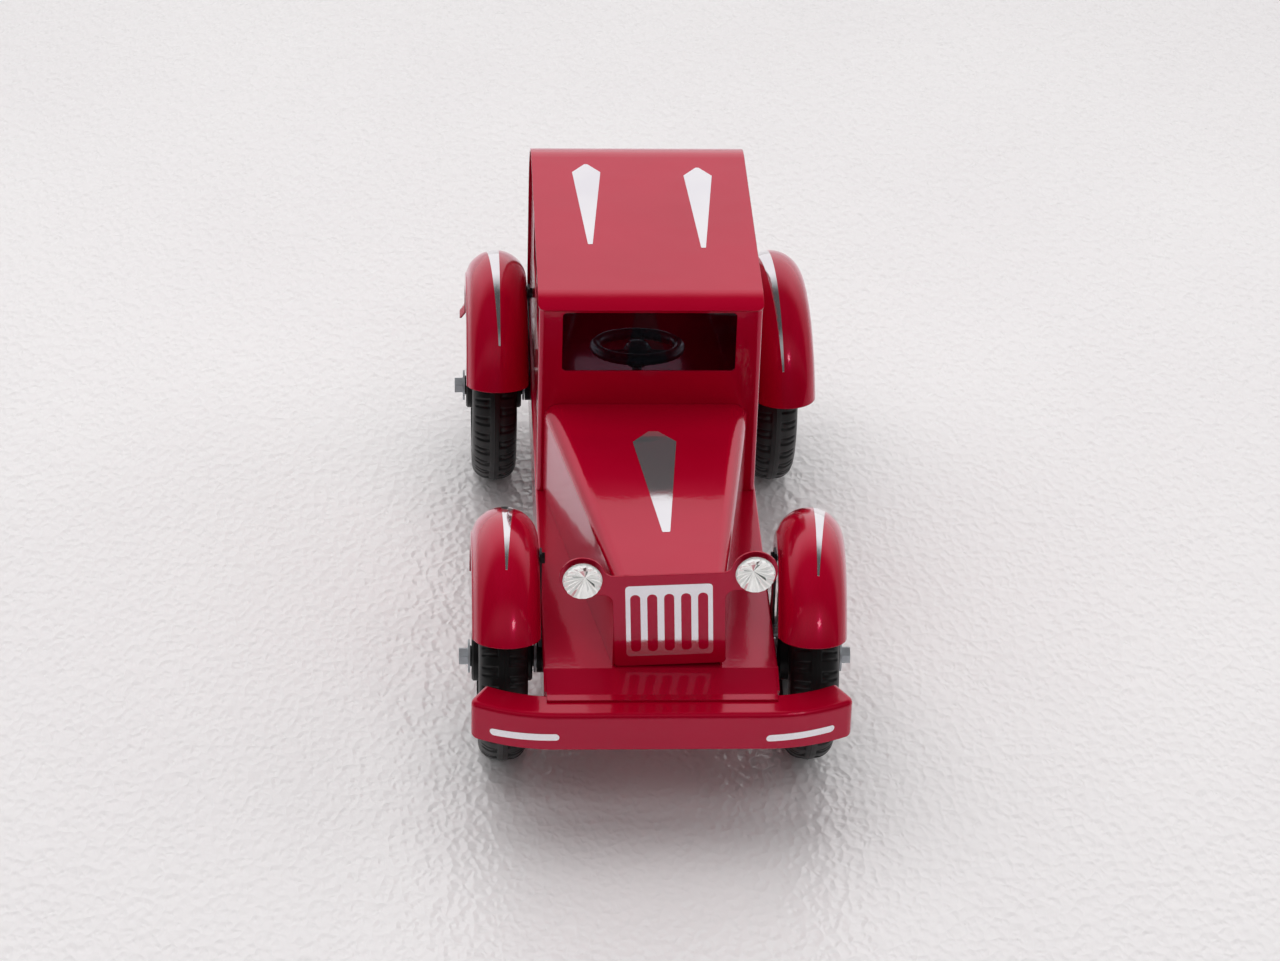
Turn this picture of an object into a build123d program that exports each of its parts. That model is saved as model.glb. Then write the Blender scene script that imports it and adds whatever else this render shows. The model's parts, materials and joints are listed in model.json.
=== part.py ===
from build123d import *
import math
import os

os.makedirs("parts", exist_ok=True)

# Friction tin car: folded and pressed sheet-steel body on a channel chassis,
# moulded wheels on two live axles, flywheel motor geared to the rear axle.
# Millimetres. +Z up, ground at z = 0, the front of the car faces -Y.
# Inside this file y is measured from the front axle and YS moves the finished
# parts so that the origin is the middle of the footprint.

# ---------------------------------------------------------------- dimensions
YS = -128.5            # shift of the finished car along Y
WHEELBASE = 263.0
R_WHEEL = 52.0         # tyre radius, also the axle height
FEN_X = 74.9           # half distance between the fenders' middles
TRACK_H = 76.0         # half track, to the middle of a tyre
TYRE_W = 24.0
TYRE_BORE_R = 33.0     # rim seat radius
SHOULDER = 9.0
HUB_R = 12.25          # raised hub disc each side of a wheel
HUB_T = 3.0
WASH_R = 8.25
WASH_T = 1.0
AX_R = 4.0             # axle, between the wheels
AX_END_R = 3.5         # axle, turned down inside a wheel
HEX_AF = 8.0           # M5 bolt head
HEX_H = 4.2
M5_R = 2.5
RUN = 0.05             # radial running clearance

TS = 1.0               # body sheet
TC = 1.2               # chassis sheet
DECK_Z = 77.5
SKIRT_Z = 45.0
CH_HW = 57.0           # chassis half width
CH_Y0, CH_Y1 = -48.0, 309.0
APRON_Y, APRON_Z = -62.0, 73.4

BUMP_Y = -80.0
BUMP_Z0, BUMP_Z1 = 52.0, 72.0
BUMP_HL = 94.0
BUMP_STRAIGHT = 50.0
BUMP_R = 85.0
BUMP_DEPTH = 16.0

GR_Y = -47.0           # front face of the grille plate
GR_HW = 27.0
GR_X, GR_TILT = 3.4, 2.4   # the plate and what it carries sit off centre and a little turned
GR_Z0, GR_Z1 = 78.9, 130.8
LAMP_X, LAMP_Z = 41.4, 131.0
EAR_R = 11.0
GEM_R = 9.2

BON_Y0, BON_Y1 = -46.0, 112.9
BON_F_HW, BON_R_HW = 26.7, 52.0
BON_Z = 130.0
BON_F_X, BON_R_X = 3.2, -1.2     # sideways offset of its front and rear ends

CAB_HW = 56.4          # windscreen panel
SIDE_HW = CAB_HW - TS  # side panels lap inside the panel's returns
CAB_Y0 = 113.0
CAB_TOP = 185.2
ROOF_HW = 57.0
ROOF_Z = 190.0
ROOF_FLAT_Y0, ROOF_FLAT_Y1 = 125.0, 269.0
ROOF_BACK_R = 40.0
VISOR_R = 22.5
VISOR_ANG = 36.87
WIN_HW, WIN_Z0, WIN_Z1, WIN_X = 44.0, 149.4, 183.4, -0.5

FEN_R0 = 58.0          # radius about the axle where the dome of the section starts
FEN_RO = 16.7          # half width of the section, outside
FEN_H = 16.0           # height of the dome, outside
FEN_WALL = 2.5         # straight wall under the dome
FEN_T = 1.0
BRK_T = 1.2            # fender bracket, lies between chassis side and fender

STEER_C = (-5.0, 139.0, 148.7)
STEER_TILT = 12.0
STEER_R = 24.5
STEER_RIM = 2.9

MODULE = 1.0
T_DRIVE, T_PIN, T_INT, T_FLY = 36, 12, 30, 12
MOT_HW = 12.0          # half gap between the motor plates
Y_INT = WHEELBASE - MODULE * (T_DRIVE + T_PIN) / 2
Y_FLY = Y_INT - MODULE * (T_INT + T_FLY) / 2

parts = {}


def box(x0, x1, y0, y1, z0, z1):
    return Pos((x0 + x1) / 2, (y0 + y1) / 2, (z0 + z1) / 2) * Box(x1 - x0, y1 - y0, z1 - z0)


def xcyl(r, x0, x1, y, z):
    """Cylinder along X."""
    return Pos((x0 + x1) / 2, y, z) * (Rot(0, 90, 0) * Cylinder(r, x1 - x0))


def group(shapes):
    return Compound(children=list(shapes))


def clean(s):
    """One plain solid out of a boolean result."""
    sol = s.solids() if not isinstance(s, Solid) else [s]
    return sol[0] if len(sol) == 1 else Compound(children=list(sol))


def yz_prism(pts, x0, x1):
    """Polygon given as (y, z), extruded along X from x0 to x1."""
    pl = Plane(origin=(x0, 0, 0), x_dir=(0, 1, 0), z_dir=(1, 0, 0))
    f = make_face(Polyline(*[(p[0], p[1]) for p in pts], close=True))
    return extrude(pl * f, x1 - x0)


def xz_plane(y):
    """Local x = X, local y = Z, looking from the front; extrudes towards -Y."""
    return Plane(origin=(0, y, 0), x_dir=(1, 0, 0), z_dir=(0, -1, 0))


# ---------------------------------------------------------------- chassis
side_pts = [(CH_Y0, DECK_Z), (APRON_Y, APRON_Z), (APRON_Y + 6, 64.0), (CH_Y0 + 1, SKIRT_Z + 9), (CH_Y0 + 12, SKIRT_Z),
            (CH_Y1 - 8, SKIRT_Z), (CH_Y1, SKIRT_Z + 9), (CH_Y1, DECK_Z)]
side_face = make_face(Polyline(*side_pts, close=True))
for y in (0.0, WHEELBASE):
    side_face -= Pos(y, R_WHEEL) * Circle(6.0)
    for dy in (-4.5, 4.5):
        side_face -= Pos(y + dy, 69.0) * Circle(1.55)
side_plane = Plane(origin=(0, 0, 0), x_dir=(0, 1, 0), z_dir=(1, 0, 0))
skirt = extrude(side_plane * side_face, TC)
deck = yz_prism([(CH_Y0, DECK_Z), (-64.5, BUMP_Z1 + TC + 0.1), (-69.0, BUMP_Z1 + TC), (-69.0, BUMP_Z1), (-64.3, BUMP_Z1), (CH_Y0 + 0.2, DECK_Z - TC),
                 (CH_Y1, DECK_Z - TC), (CH_Y1, DECK_Z)], -CH_HW + TC, CH_HW - TC)
chassis = Pos(-CH_HW, 0, 0) * skirt + deck + Pos(CH_HW - TC, 0, 0) * skirt
# back flange of the channel
chassis += box(-CH_HW + 7, CH_HW - 7, CH_Y1 - TC, CH_Y1, SKIRT_Z + 9, DECK_Z - TC)
# small radius along the top edges of the channel
for s in (-1, 1):
    r = 1.0
    nib = Pos(s * (CH_HW - r / 2), (CH_Y0 + CH_Y1) / 2, DECK_Z - r / 2) * Box(r, CH_Y1 - CH_Y0 - 2, r)
    nib -= Pos(s * (CH_HW - r), (CH_Y0 + CH_Y1) / 2, DECK_Z - r) * (Rot(90, 0, 0) * Cylinder(r, CH_Y1 - CH_Y0 + 10))
    chassis -= nib
parts["chassis_frame"] = clean(chassis)

# ---------------------------------------------------------------- bumper


def bumper_outline(off, back):
    """Plan outline of the bumper, grown inwards by off; back is how far it runs behind the face."""
    r = BUMP_R - off
    yc = BUMP_Y + BUMP_R
    a = math.asin((BUMP_HL - BUMP_STRAIGHT) / BUMP_R) - off / BUMP_R
    f0 = (BUMP_STRAIGHT, BUMP_Y + off)
    fm = (BUMP_STRAIGHT + r * math.sin(a / 2), yc - r * math.cos(a / 2))
    f1 = (BUMP_STRAIGHT + r * math.sin(a), yc - r * math.cos(a))
    rb = BUMP_R - back
    b0 = (BUMP_STRAIGHT, BUMP_Y + back)
    bm = (BUMP_STRAIGHT + rb * math.sin(a / 2), yc - rb * math.cos(a / 2))
    b1 = (BUMP_STRAIGHT + rb * math.sin(a), yc - rb * math.cos(a))
    m = lambda p: (-p[0], p[1])
    w = [Line(m(f0), f0), ThreePointArc(f0, fm, f1), Line(f1, b1), ThreePointArc(b1, bm, b0), Line(b0, m(b0)),
         ThreePointArc(m(b0), m(bm), m(b1)), Line(m(b1), m(f1)), ThreePointArc(m(f1), m(fm), m(f0))]
    return make_face(Curve() + w)


bo = Pos(0, 0, BUMP_Z0) * extrude(bumper_outline(0, BUMP_DEPTH), BUMP_Z1 - BUMP_Z0)
corner = [e for e in bo.edges() if abs(e.length - (BUMP_Z1 - BUMP_Z0)) < 0.01 and abs(e.center().X) > BUMP_HL - 2]
bo = fillet(corner, 5.0)
top = [e for e in bo.edges() if abs(e.center().Z - BUMP_Z1) < 0.01 and
       not (e.center().Y > BUMP_Y + BUMP_DEPTH - 1 and abs(e.center().X) < BUMP_STRAIGHT + 5) and
       not (e.center().Y > -61.5 and abs(e.center().X) < 82)]
bo = fillet(top, 2.6)
bi = Pos(0, 0, BUMP_Z0 - 5) * extrude(bumper_outline(TC, BUMP_DEPTH + 6), BUMP_Z1 - BUMP_Z0 + 5 - TC)
corner = [e for e in bi.edges() if abs(e.length - (BUMP_Z1 - BUMP_Z0 + 5 - TC)) < 0.01 and
          abs(e.center().X) > BUMP_HL - 4 and e.center().Y < -60]
bi = fillet(corner, 3.8)
bumper = bo - bi
trim = extrude(xz_plane(-20) * (Pos(0, (BUMP_Z0 + BUMP_Z1 + 12) / 2) * RectangleRounded(2 * BUMP_HL + 0.4, BUMP_Z1 - BUMP_Z0 + 12, 5.0)), 80)
bumper = clean(bumper & trim)
parts["bumper"] = bumper

brk = []
for s in (-1, 1):
    z = BUMP_Z1 - TC
    b = box(s * 35 - 7, s * 35 + 7, BUMP_Y + 6, -44.8, z - 1.2, z)
    b += box(s * 35 - 7, s * 35 + 7, -46.0, -44.8, z - 1.2, DECK_Z - TC)
    b += box(s * 35 - 7, s * 35 + 7, -46.0, -28.0, DECK_Z - TC - 1.2, DECK_Z - TC)
    brk.append(clean(b))
parts["bumper_brackets"] = group(brk)

# ---------------------------------------------------------------- bonnet


def bonnet_section(y, inset):
    k = (y - BON_Y0) / (BON_Y1 - BON_Y0)
    h = BON_F_HW + k * (BON_R_HW - BON_F_HW) - inset
    zt = BON_Z - inset
    r = 5.5 + k * 2.5 - inset
    zb = DECK_Z if inset == 0 else DECK_Z - 3
    cx = BON_F_X + k * (BON_R_X - BON_F_X)
    p = Polyline((cx - h, zb), (cx + h, zb), (cx + h, zt), (cx - h, zt), close=True)
    f = make_face(p)
    f = fillet([v for v in f.vertices() if v.Y > 100], r)
    return xz_plane(y) * f


outer = loft([bonnet_section(BON_Y0, 0), bonnet_section(BON_Y1, 0)])
inner = loft([bonnet_section(BON_Y0 - 2, TS), bonnet_section(BON_Y1 + 2, TS)])
parts["bonnet"] = clean(outer - inner)

# ---------------------------------------------------------------- grille plate, lamps
g = Pos(0, (GR_Z0 + GR_Z1) / 2) * Rectangle(2 * GR_HW, GR_Z1 - GR_Z0)
for s in (-1, 1):
    neck = make_face(Polyline((s * (GR_HW - 2), 120.5), (s * 36.0, 120.5), (s * 36.0, GR_Z1), (s * (GR_HW - 2), GR_Z1), close=True))
    g = g + neck + Pos(s * LAMP_X, LAMP_Z) * Circle(EAR_R)
g = g.clean() if hasattr(g, "clean") else g
for r in (5.0, 3.0, 1.5):
    try:
        vs = [v for v in g.vertices() if (abs(abs(v.X) - GR_HW) < 0.3 and 119 < v.Y < 122) or
              (29.0 < abs(v.X) < 33.0 and abs(v.Y - GR_Z1) < 1.0)]
        g2 = fillet(vs, r)
        g = g2
        break
    except Exception:
        continue
vs = [v for v in g.vertices() if v.Y < GR_Z0 + 1]
g = fillet(vs, 2.0)
PIV = Pos(GR_X, 0, 104) * Rot(0, -GR_TILT, 0) * Pos(0, 0, -104)
parts["grille_plate"] = clean(PIV * extrude(xz_plane(GR_Y + TS) * g, TS))

cups, gems = [], []
for s in (-1, 1):
    c = Pos(s * LAMP_X, GR_Y, LAMP_Z) * (Rot(90, 0, 0) * (Pos(0, 0, 0.7) * Cylinder(GEM_R + 0.3, 1.4)))
    c += Pos(s * LAMP_X, GR_Y, LAMP_Z) * (Rot(90, 0, 0) * (Pos(0, 0, 1.3) * (Cylinder(GEM_R + 0.3, 2.6) - Cylinder(GEM_R - 0.1, 2.6))))
    cups.append(clean(PIV * c))
    q = Pos(s * LAMP_X, GR_Y - 1.4, LAMP_Z) * (Rot(90, 0, 0) * (Pos(0, 0, 1.5) * Cylinder(GEM_R - 0.1, 3.0)))
    q += Pos(s * LAMP_X, GR_Y - 4.4, LAMP_Z) * (Rot(90, 0, 0) * (Pos(0, 0, 0.6) * Cone(GEM_R - 0.1, GEM_R - 2.2, 1.2)))
    gems.append(clean(PIV * q))
parts["headlamp_cups"] = group(cups)
parts["headlamp_gems"] = group(gems)

ST = 0.12   # sticker film
gs = Pos(0, 104.8) * RectangleRounded(42.0, 40.5, 2.0)
for i in range(5):
    gs -= Pos((i - 2) * 8.15, 103.5) * (Rot(0, 0, 90) * SlotOverall(33.0, 4.9))
parts["grille_sticker"] = clean(PIV * extrude(xz_plane(GR_Y) * gs, ST))

# ---------------------------------------------------------------- cab
fw = Pos(0, (DECK_Z + CAB_TOP) / 2) * Rectangle(2 * CAB_HW, CAB_TOP - DECK_Z)
fw -= Pos(WIN_X, (WIN_Z0 + WIN_Z1) / 2) * RectangleRounded(2 * WIN_HW, WIN_Z1 - WIN_Z0, 2.2)
front = extrude(xz_plane(CAB_Y0 + TS) * fw, TS)
# rounded side folds, which return 5 mm along the sides
for s in (-1, 1):
    front += box(s * CAB_HW - (TS if s > 0 else 0), s * CAB_HW + (TS if s < 0 else 0), CAB_Y0, CAB_Y0 + 6.0, DECK_Z, CAB_TOP)
front = clean(front)
fe = [e for e in front.edges() if abs(abs(e.center().X) - CAB_HW) < 0.01 and abs(e.center().Y - CAB_Y0) < 0.01 and e.length > 100]
front = fillet(fe, 2.6)
ie = [e for e in front.edges() if abs(abs(e.center().X) - (CAB_HW - TS)) < 0.01 and abs(e.center().Y - CAB_Y0 - TS) < 0.01 and e.length > 100]
front = fillet(ie, 1.6)
# the bonnet's rear opening stays closed: the wall runs behind it
parts["windscreen_panel"] = clean(front)
film = Pos(WIN_X, (WIN_Z0 - 4 + CAB_TOP) / 2) * RectangleRounded(2 * WIN_HW + 8, CAB_TOP - WIN_Z0 + 4, 1.5)
parts["windscreen_film"] = clean(extrude(xz_plane(CAB_Y0 + TS + 0.3) * film, 0.3))


def back_profile(inset, z0):
    """Roof line from above the windscreen, over the back and down, as wire pieces in (y, z)."""
    zt = ROOF_Z - inset
    r = ROOF_BACK_R - inset
    yc, zc = ROOF_FLAT_Y1, ROOF_Z - ROOF_BACK_R
    c45 = math.sqrt(0.5)
    return zt, [(ROOF_FLAT_Y1, zt), (yc + r * c45, zc + r * c45), (yc + r, zc)], (yc + r, z0)


yzp = Plane(origin=(0, 0, 0), x_dir=(0, 1, 0), z_dir=(1, 0, 0))
zt, arc, low = back_profile(TS, DECK_Z)
y0 = CAB_Y0 + TS + 2.0
SIDE_TOP = 185.0       # top of the front corner of a side panel, under the visor curve
w = [Line((y0, DECK_Z), (y0, SIDE_TOP)), Line((y0, SIDE_TOP), (ROOF_FLAT_Y0, zt)), Line((ROOF_FLAT_Y0, zt), arc[0]),
     ThreePointArc(*arc), Line(arc[2], low), Line(low, (y0, DECK_Z))]
side = make_face(Curve() + w)
door = Pos(155.0, 158.0) * RectangleRounded(60.0, 40.0, 5.0)
quarter = Pos(226.0, 158.0) * RectangleRounded(58.0, 40.0, 8.0)
side = side - door - quarter
for s, n in ((-1, "cab_side_left"), (1, "cab_side_right")):
    sol = extrude(yzp * side, TS)
    parts[n] = clean(Pos(-SIDE_HW if s < 0 else SIDE_HW - TS, 0, 0) * sol)

# roof sheet: rolled visor, flat top, rounded back, down to the deck
va = math.radians(VISOR_ANG)


def roof_pts(ins):
    r = VISOR_R - ins
    yc, zc = ROOF_FLAT_Y0, ROOF_Z - VISOR_R
    tip = (yc - r * math.sin(va), zc + r * math.cos(va))
    mid = (yc - r * math.sin(va / 2), zc + r * math.cos(va / 2))
    return tip, mid, (yc, ROOF_Z - ins)


to, mo, fo = roof_pts(0)
ti, mi, fi = roof_pts(TS)
zto, arco, lowo = back_profile(0, DECK_Z)
zti, arci, lowi = back_profile(TS, DECK_Z)
w = [ThreePointArc(to, mo, fo), Line(fo, arco[0]), ThreePointArc(*arco), Line(arco[2], lowo), Line(lowo, lowi),
     Line(lowi, arci[2]), ThreePointArc(arci[2], arci[1], arci[0]), Line(arci[0], fi), ThreePointArc(fi, mi, ti), Line(ti, to)]
roof = Pos(-ROOF_HW, 0, 0) * extrude(yzp * make_face(Curve() + w), 2 * ROOF_HW)
rw = extrude(xz_plane(ROOF_FLAT_Y1 + ROOF_BACK_R + 5) * (Pos(0, 126) * RectangleRounded(60, 28, 4)), 10)
roof = clean(roof - rw)
vc = [e for e in roof.edges() if e.length < 2 and abs(abs(e.center().X) - ROOF_HW) < 0.01 and e.center().Y < ROOF_FLAT_Y0]
roof = fillet(vc, 3.5)
parts["roof_and_back"] = clean(roof)

# ---------------------------------------------------------------- flat stickers


def kite(length, width, shoulder, nose, tip):
    """Long kite with a blunt nose at +y and a narrow tip at -y, nose apex at the origin."""
    return make_face(Polyline((-nose / 2, 0), (nose / 2, 0), (width / 2, -shoulder), (tip / 2, -length), (-tip / 2, -length),
                              (-width / 2, -shoulder), close=True))


kb = fillet(kite(94.0, 22.0, 10.0, 4.7, 3.8).vertices(), 0.7)
parts["bonnet_sticker"] = clean(extrude(Plane.XY.offset(BON_Z) * (Pos(1.1, 86.0) * (Rot(0, 0, 1.2) * kb)), ST))
kr = fillet(kite(88.0, 15.0, 9.0, 1.6, 2.4).vertices(), 0.5)
rs = []
for x, y, a in ((-28.2, 260.5, -0.4), (30.9, 256.9, -1.0)):
    rs.append(clean(extrude(Plane.XY.offset(ROOF_Z) * (Pos(x, y) * (Rot(0, 0, a) * kr)), ST)))
parts["roof_stickers"] = group(rs)

# bumper strips: rounded bars bent round the swept ends
strips = []
r1 = BUMP_R
for s in (-1, 1):
    shell = extrude(bumper_outline(-ST, 3.0), 30) - extrude(bumper_outline(0, 4.5), 30)
    bar = extrude(xz_plane(-60) * (Pos(s * 66.5, 58.9) * (Rot(0, 0, -s * 7.0) * SlotOverall(33.5, 3.7))), 30)
    strips.append(clean(bar & (Pos(0, 0, 45) * shell)))
parts["bumper_stickers"] = group(strips)

# ---------------------------------------------------------------- fenders
FEN_A0, FEN_A1 = 20.0, 164.0      # arc from the front lip to the tail, degrees above the forward horizontal


def ring(grow_o, grow_i):
    """Section of a fender: half ellipse on straight walls; grow_o and grow_i offset its outside and inside."""
    w_ = []
    ends = []
    for g in (grow_o, grow_i):
        a, b = FEN_RO + g, FEN_H + g
        pts = [(a * math.cos(math.radians(t)), b * math.sin(math.radians(t))) for t in range(0, 181, 15)]
        pts[0], pts[-1] = (a, 0), (-a, 0)
        w_ += [Line((a, -FEN_WALL), (a, 0)), Spline(*pts, tangents=[(0, 1), (0, -1)]), Line((-a, 0), (-a, -FEN_WALL))]
        ends.append(a)
    w_ += [Line((ends[0], -FEN_WALL), (ends[1], -FEN_WALL)), Line((-ends[0], -FEN_WALL), (-ends[1], -FEN_WALL))]
    return make_face(Curve() + w_)


def fender_frame(xc, y_ax, a, radius):
    """Frame at polar angle a about the axle: local x = X, local y = radial out, local z = towards the front lip."""
    ar = math.radians(a)
    rad = (0, -math.cos(ar), math.sin(ar))
    org = (xc, y_ax + radius * rad[1], R_WHEEL + radius * rad[2])
    zd = Vector(1, 0, 0).cross(Vector(*rad))
    return Plane(origin=org, x_dir=(1, 0, 0), z_dir=zd)


def dome(xc, y_ax, a0, a1, grow_o, grow_i):
    f = fender_frame(xc, y_ax, a0, FEN_R0) * ring(grow_o, grow_i)
    ax = Axis((0, y_ax, R_WHEEL), (-1, 0, 0))
    s = revolve(f, ax, a1 - a0)
    return s


FLARE, FLARE_L = 2.6, 4.5


def fender(xc, y_ax, a0, a1, lip):
    """lip = (y, z) of the crown of the front lip, y from the axle; the lip is cut by a plane that falls to the rear."""
    f = dome(xc, y_ax, a0, a1, 0, -FEN_T)
    # the tail flares outwards, the side next to the body stays straight
    p = fender_frame(xc, y_ax, a1, FEN_R0)
    out = 1 if xc > 0 else -1
    far = Plane(origin=Vector(*p.origin) - p.z_dir * FLARE_L + Vector(out * FLARE / 2, 0, 0), x_dir=(1, 0, 0), z_dir=p.z_dir)
    if y_ax > 100:
        f += loft([p * ring(0, -FEN_T), far * ring(FLARE / 2, FLARE / 2 - FEN_T)])
    yl, zl = y_ax + lip[0], lip[1]
    f -= yz_prism([(yl - 60, zl + 15), (yl + 40, zl - 10), (yl + 40, zl - 90), (yl - 60, zl - 90)], xc - 40, xc + 40) & \
        box(xc - 40, xc + 40, y_ax - 140, y_ax - 20, -10, 140)
    return clean(f)


names = {"front_left_fender": (-1, 0.0), "front_right_fender": (1, 0.0),
         "rear_left_fender": (-1, WHEELBASE), "rear_right_fender": (1, WHEELBASE)}
fend = {}
for n, (s, ya) in names.items():
    dx = 0.0
    lip = (-58.5, 96.2) if ya < 10 else (-65.6, 86.0)
    fend[n] = fender(s * FEN_X, ya, FEN_A0 if ya < 10 else FEN_A0 - 6.0, FEN_A1, lip)
# the right rear fender sits askew on its bracket: nose lower and toed out
TOE, DIP = 2.6, 7.0
rr_pose = Pos(FEN_X - FEN_RO + 1.9, WHEELBASE, R_WHEEL) * Rot(0, 0, TOE) * Rot(DIP, 0, 0) * \
    Pos(-(FEN_X - FEN_RO), -WHEELBASE, -R_WHEEL)
fend["rear_right_fender"] = rr_pose * fend["rear_right_fender"]
# the front right fender is toed in a little
FR_TOE = -2.8
fr_pose = Pos(FEN_X - FEN_RO + 0.6, 0, R_WHEEL) * Rot(0, 0, FR_TOE) * Pos(-(FEN_X - FEN_RO), 0, -R_WHEEL)
fend["front_right_fender"] = fr_pose * fend["front_right_fender"]

# brackets: a strap between chassis side and fender, two screws below, one bolt above
BZ = R_WHEEL + FEN_R0            # height of the fender bolt, level with the straight part of the wall
FB_HEAD_R, FB_REACH = 2.6, 3.5   # bolt head radius, and how far its end stands off the strap
strap, fbolts, fnuts, screws = [], [], [], []
for n, (s, ya) in names.items():
    x0, x1 = (CH_HW, CH_HW + BRK_T) if s > 0 else (-CH_HW - BRK_T, -CH_HW)
    y = ya
    st = yz_prism([(y - 8, 62.5), (y + 8, 62.5), (y + 8, 76), (y + 5, 84), (y + 5, BZ + 1), (y + 3, BZ + 4),
                   (y - 3, BZ + 4), (y - 5, BZ + 1), (y - 5, 84), (y - 8, 76)], x0, x1)
    st -= xcyl(1.55, x0 - 1, x1 + 1, y, BZ)
    for dy in (-4.5, 4.5):
        st -= xcyl(1.55, x0 - 1, x1 + 1, y + dy, 69)
        hx = (x1, x1 + 2.0) if s > 0 else (x0 - 2.0, x0)
        sx = (x0 - 4.0, x1) if s > 0 else (x0, x1 + 4.0)
        sc = xcyl(2.75, hx[0], hx[1], y + dy, 69) + xcyl(1.5, sx[0], sx[1], y + dy, 69)
        screws.append(clean(sc))
    strap.append(clean(st))
    wall = {"rear_right_fender": 2.1, "front_right_fender": 0.8}.get(n, 0.0)
    xi = s * (FEN_X - FEN_RO)
    # bolt head inside the wall of the fender, nut on the body side of the strap
    fend[n] = fend[n] - xcyl(1.7, min(xi - s * 3, xi + s * 6), max(xi - s * 3, xi + s * 6), y, BZ)
    a, b = (x0 - 1.5, x1 + FB_REACH + wall) if s > 0 else (x0 - FB_REACH - wall, x1 + 1.5)
    bo_ = xcyl(1.5, a, b, y, BZ)
    ha = (b - 2.0, b) if s > 0 else (a, a + 2.0)
    bo_ += xcyl(FB_HEAD_R, ha[0], ha[1], y, BZ)
    fbolts.append(clean(bo_))
    na = (x0 - 1.5, x0) if s > 0 else (x1, x1 + 1.5)
    nut = Pos((na[0] + na[1]) / 2, y, BZ) * (Rot(0, 90, 0) * (extrude(RegularPolygon(3.1, 6), 0.75, both=True)))
    fnuts.append(clean(nut - xcyl(1.5, na[0] - 1, na[1] + 1, y, BZ)))
for n in names:
    parts[n] = clean(fend[n])
parts["fender_brackets"] = group(strap)
parts["fender_bolts"] = group(fbolts)
parts["fender_nuts"] = group(fnuts)
parts["bracket_screws"] = group(screws)


def fender_sticker(xc, y_ax, am, pts):
    """pts = (x, polar angle) of a long triangle on the crown."""
    sh = dome(xc, y_ax, 30, 163, ST, 0)
    ro = FEN_R0 + FEN_H
    fr = fender_frame(xc, y_ax, am, 20)
    # in this frame z runs towards the lip; draw the outline in x and tangential distance
    tri = make_face(Polyline(*[(x, -ro * math.sin(math.radians(a - am))) for x, a in pts], close=True))
    pl = Plane(origin=fr.origin, x_dir=(1, 0, 0), z_dir=-fr.y_dir)
    # pl's local y is the direction of increasing polar angle, reversed
    pr = extrude(pl * tri, -80)
    return sh & pr


st_defs = [(-1, 0.0, 98.0, [(-1.8, 130.0), (5.6, 130.0), (0.6, 68.5), (-0.4, 68.5)]),
           (1, 0.0, 98.0, [(1.4, 128.0), (8.6, 128.0), (2.4, 66.0), (1.4, 66.0)]),
           (-1, WHEELBASE, 92.0, [(-6.2, 128.0), (1.6, 128.0), (1.4, 47.0), (0.4, 47.0)]),
           (1, WHEELBASE, 92.0, [(-8.6, 128.0), (-1.2, 128.0), (-1.6, 43.0), (-2.6, 43.0)])]
fs = []
for s, ya, am, pts in st_defs:
    t = fender_sticker(s * FEN_X, ya, am, pts)
    if s > 0 and ya > 10:
        t = rr_pose * t
    elif s > 0:
        t = fr_pose * t
    fs.append(clean(t))
parts["fender_stickers"] = group(fs)

# ---------------------------------------------------------------- wheels and axles
X_IN, X_OUT = TRACK_H - TYRE_W / 2, TRACK_H + TYRE_W / 2
BOSS = 0.8


def revolve_x(pts, y):
    """Closed outline of (x, r) turned about the axle at y."""
    pl = Plane(origin=(0, y, R_WHEEL), x_dir=(1, 0, 0), z_dir=(0, -1, 0))
    return revolve(pl * make_face(Polyline(*pts, close=True)), Axis((0, y, R_WHEEL), (1, 0, 0)), 360)


def tyre(s, y):
    x0, x1, r, k = X_IN, X_OUT, R_WHEEL, SHOULDER
    c = math.sqrt(0.5)
    pl = Plane(origin=(0, y, R_WHEEL), x_dir=(1, 0, 0), z_dir=(0, -1, 0))
    rs_ = r - 0.6
    w_ = [Line((x0, TYRE_BORE_R), (x0, rs_ - k)), ThreePointArc((x0, rs_ - k), (x0 + k * (1 - c), rs_ - k * (1 - c)), (x0 + k, rs_)),
          ThreePointArc((x0 + k, rs_), ((x0 + x1) / 2, r), (x1 - k, rs_)),
          ThreePointArc((x1 - k, rs_), (x1 - k * (1 - c), rs_ - k * (1 - c)), (x1, rs_ - k)),
          Line((x1, rs_ - k), (x1, TYRE_BORE_R)), Line((x1, TYRE_BORE_R), (x0, TYRE_BORE_R))]
    t = revolve(pl * make_face(Curve() + w_), Axis((0, y, R_WHEEL), (1, 0, 0)), 360)
    return clean(t if s > 0 else mirror(t, Plane.YZ))


def rim(s, y):
    a, b = X_IN, X_OUT
    pts = [(a - HUB_T - BOSS, AX_END_R), (b + HUB_T + BOSS, AX_END_R), (b + HUB_T + BOSS, 5.2), (b + HUB_T, 5.2), (b + HUB_T, HUB_R - 0.8),
           (b + HUB_T - 0.8, HUB_R), (b - 2.0, HUB_R), (b - 3.2, 14.0), (b - 5.0, 26.0), (b - 2.0, TYRE_BORE_R - 2.4), (b, TYRE_BORE_R - 1.6),
           (b, TYRE_BORE_R), (a, TYRE_BORE_R), (a, TYRE_BORE_R - 1.6), (a + 2.0, TYRE_BORE_R - 2.4), (a + 5.0, 26.0), (a + 3.2, 14.0),
           (a + 2.0, HUB_R), (a - HUB_T + 0.8, HUB_R), (a - HUB_T, HUB_R - 0.8), (a - HUB_T, 5.2), (a - HUB_T - BOSS, 5.2)]
    w_ = revolve_x(pts, y)
    return clean(w_ if s > 0 else mirror(w_, Plane.YZ))


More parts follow.
